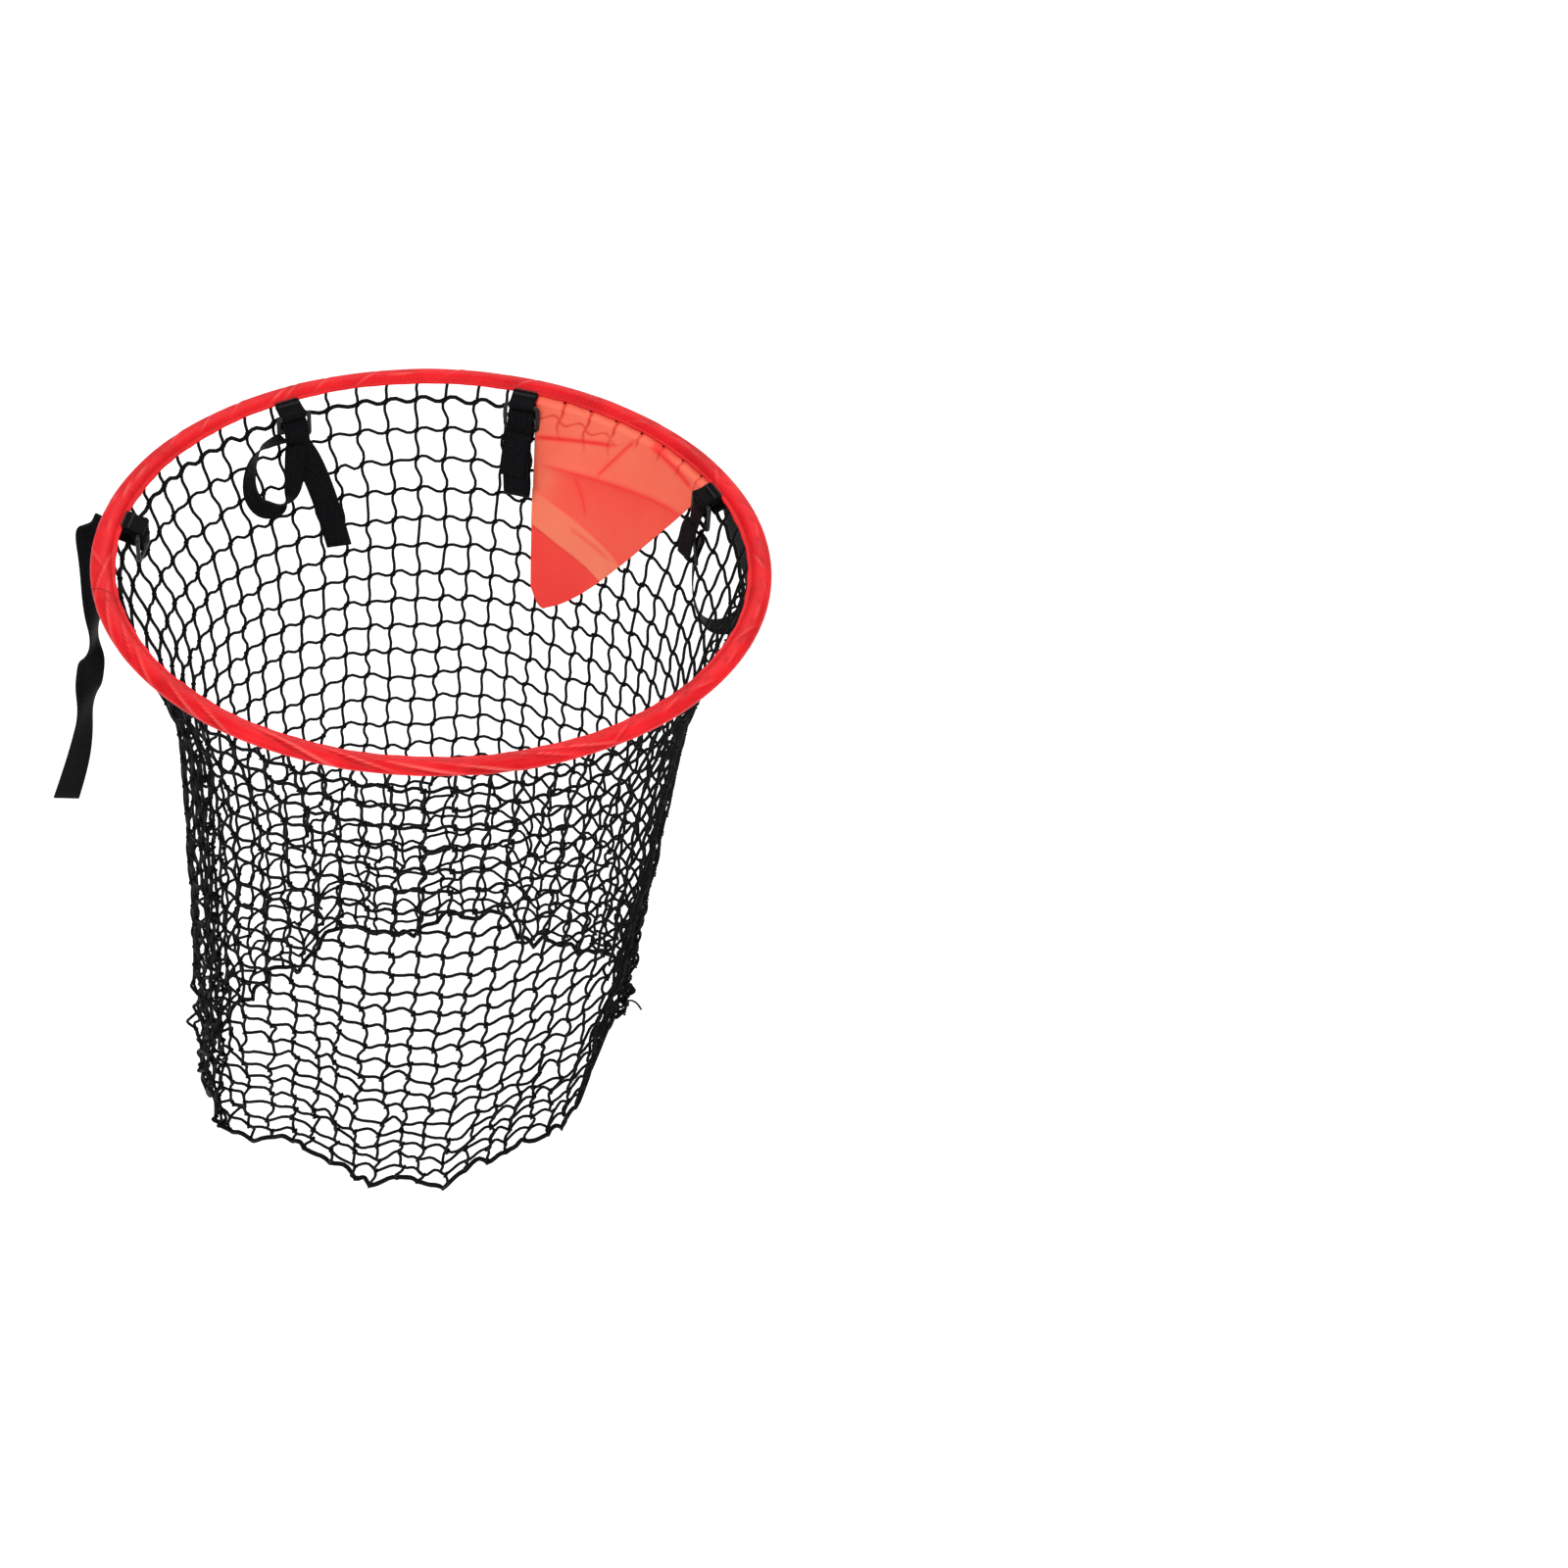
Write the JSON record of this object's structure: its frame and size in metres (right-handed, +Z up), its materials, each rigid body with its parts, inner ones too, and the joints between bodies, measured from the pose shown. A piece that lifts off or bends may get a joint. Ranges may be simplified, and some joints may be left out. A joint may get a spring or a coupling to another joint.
{
  "type": "hanging hoop target net",
  "caption": "Red fabric-covered hoop with a hanging open-bottomed black net, a red corner flap and webbing tie straps with slide buckles.",
  "frame": {"origin": "centre of the hoop, in the plane of its wire", "axes": "+Z up out of the hoop's mouth, the net hangs along -Z; +Y towards the flap and straps side, +X to the right"},
  "size_m": [0.6712, 0.6, 0.6725],
  "materials": {
    "sleeve_fabric": "satin",
    "flap_fabric": "matte",
    "net_cord": "matte",
    "webbing": "ribbed",
    "buckle_plastic": "fine grain",
    "red_thread": "matte",
    "black_thread": "matte",
    "spring_steel": "plain",
    "ferrule": "zinc plated"
  },
  "bodies": {
    "hoop": {"hoop_wire": "spring_steel", "wire_ferrule": "ferrule", "hoop_sleeve": "sleeve_fabric", "sleeve_seam_thread": "red_thread", "net": "net_cord", "net_side_lacing": "net_cord", "anchor_stitching": "black_thread", "strap_1_under": "webbing", "strap_4_under": "webbing", "anchor_loop_1": "webbing", "anchor_loop_2": "webbing", "anchor_loop_3": "webbing", "anchor_loop_4": "webbing"},
    "net_hem": {"net_hem_cord": "net_cord"},
    "corner_flap": {"corner_flap": "flap_fabric"},
    "buckle_1": {"buckle_1": "buckle_plastic", "strap_1_thread": "webbing"},
    "buckle_2": {"buckle_2": "buckle_plastic"},
    "buckle_3": {"buckle_3": "buckle_plastic"},
    "buckle_4": {"buckle_4": "buckle_plastic"},
    "strap_1": {"strap_1_tail": "webbing"},
    "strap_2": {"strap_2_tail": "webbing", "strap_2_loop": "webbing"},
    "strap_3": {"strap_3_loop": "webbing", "strap_3_tail": "webbing"},
    "strap_4": {"strap_4_tail": "webbing"},
    "strap_4_slack": {"strap_4_loop": "webbing"}
  },
  "joints": [
    {"name": "net_gather", "type": "slide", "parent": "hoop", "child": "net_hem", "axis": [0, 0, 1], "range_m": [0, 0.54], "deforming": ["net", "net_side_lacing"]},
    {"name": "flap_swing", "type": "hinge", "parent": "hoop", "child": "corner_flap", "pos_m": [0.17384, 0.18382, -0.004], "axis": [-0.7266, 0.6871, 0], "range_deg": [0, 90]},
    {"name": "buckle_1_tilt", "type": "hinge", "parent": "hoop", "child": "buckle_1", "pos_m": [-0.26087, 0.04366, -0.007], "axis": [-0.165, -0.9863, 0], "range_deg": [0, 25]},
    {"name": "buckle_2_tilt", "type": "hinge", "parent": "hoop", "child": "buckle_2", "pos_m": [-0.13424, 0.2279, -0.007], "axis": [-0.8616, -0.5075, 0], "range_deg": [0, 70]},
    {"name": "buckle_3_tilt", "type": "hinge", "parent": "hoop", "child": "buckle_3", "pos_m": [0.08173, 0.25155, -0.007], "axis": [-0.9511, 0.309, 0], "range_deg": [0, 70]},
    {"name": "buckle_4_tilt", "type": "hinge", "parent": "hoop", "child": "buckle_4", "pos_m": [0.24524, 0.09908, -0.007], "axis": [-0.3746, 0.9272, 0], "range_deg": [0, 70]},
    {"name": "strap_1_swing", "type": "hinge", "parent": "hoop", "child": "strap_1", "pos_m": [-0.30328, 0.05075, -0.0065], "axis": [-0.165, -0.9863, 0], "range_deg": [-70, 0]},
    {"name": "strap_4_slack_swing", "type": "hinge", "parent": "hoop", "child": "strap_4_slack", "pos_m": [0.27074, 0.10939, -0.013], "axis": [-0.3746, 0.9272, 0], "range_deg": [-60, 0]},
    {"name": "strap_2_swing", "type": "hinge", "parent": "buckle_2", "child": "strap_2", "pos_m": [-0.13424, 0.2279, -0.0195], "axis": [-0.8616, -0.5075, 0], "range_deg": [0, 60]},
    {"name": "strap_3_swing", "type": "hinge", "parent": "buckle_3", "child": "strap_3", "pos_m": [0.08173, 0.25155, -0.0195], "axis": [-0.9511, 0.309, 0], "range_deg": [0, 60]},
    {"name": "strap_4_swing", "type": "hinge", "parent": "buckle_4", "child": "strap_4", "pos_m": [0.24524, 0.09908, -0.0195], "axis": [-0.3746, 0.9272, 0], "range_deg": [0, 60]}
  ]
}
